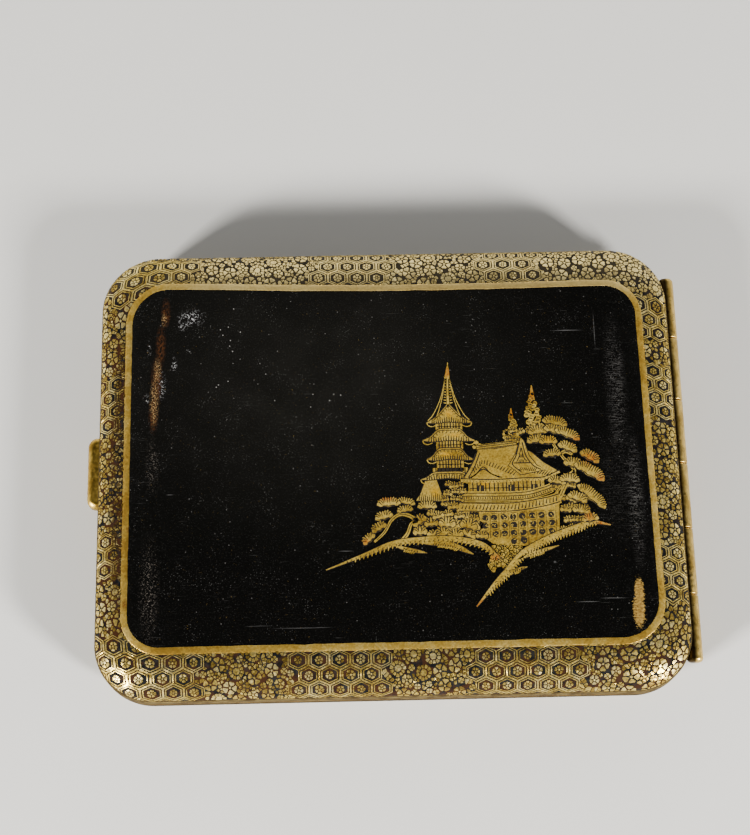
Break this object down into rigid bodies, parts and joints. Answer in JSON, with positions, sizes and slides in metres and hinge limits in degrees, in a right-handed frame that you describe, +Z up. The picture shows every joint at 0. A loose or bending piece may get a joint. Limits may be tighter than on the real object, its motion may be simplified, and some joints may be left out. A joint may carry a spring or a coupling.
{
  "type": "hinged cigarette case",
  "caption": "Shallow two-shell pocket cigarette case with rounded edges, a barrel hinge along one side and a push bar on the other, black lacquer inlaid in gold.",
  "frame": {"origin": "centre of the flat underside, with the case closed", "axes": "+X along the long side towards the hinge, +Y from the front edge to the back edge, +Z up out of the lid"},
  "size_m": [0.1142, 0.087, 0.014],
  "materials": {
    "black_lacquer": "worn black lacquer on thin sheet metal, satin gloss, with fine scratches",
    "hinge_brass": "rubbed gold-brown brass",
    "gold_finish": "yellow gold, gently worn"
  },
  "bodies": {
    "base": {"base_shell": "black_lacquer", "base_hinge_leaf": "hinge_brass", "hinge_pin": "hinge_brass"},
    "lid": {"lid_shell": "black_lacquer", "lid_hinge_leaf": "hinge_brass"},
    "button": {"thumb_button": "gold_finish"}
  },
  "joints": [
    {"name": "lid_hinge", "type": "hinge", "parent": "base", "child": "lid", "pos_m": [0.0555, 0, 0.007], "axis": [0, 1, 0], "range_deg": [0, 170]},
    {"name": "button_press", "type": "slide", "parent": "base", "child": "button", "axis": [1, 0, 0], "range_m": [0, 0.0008], "stiffness_N_per_m": 500, "springref_m": -0.0008}
  ]
}
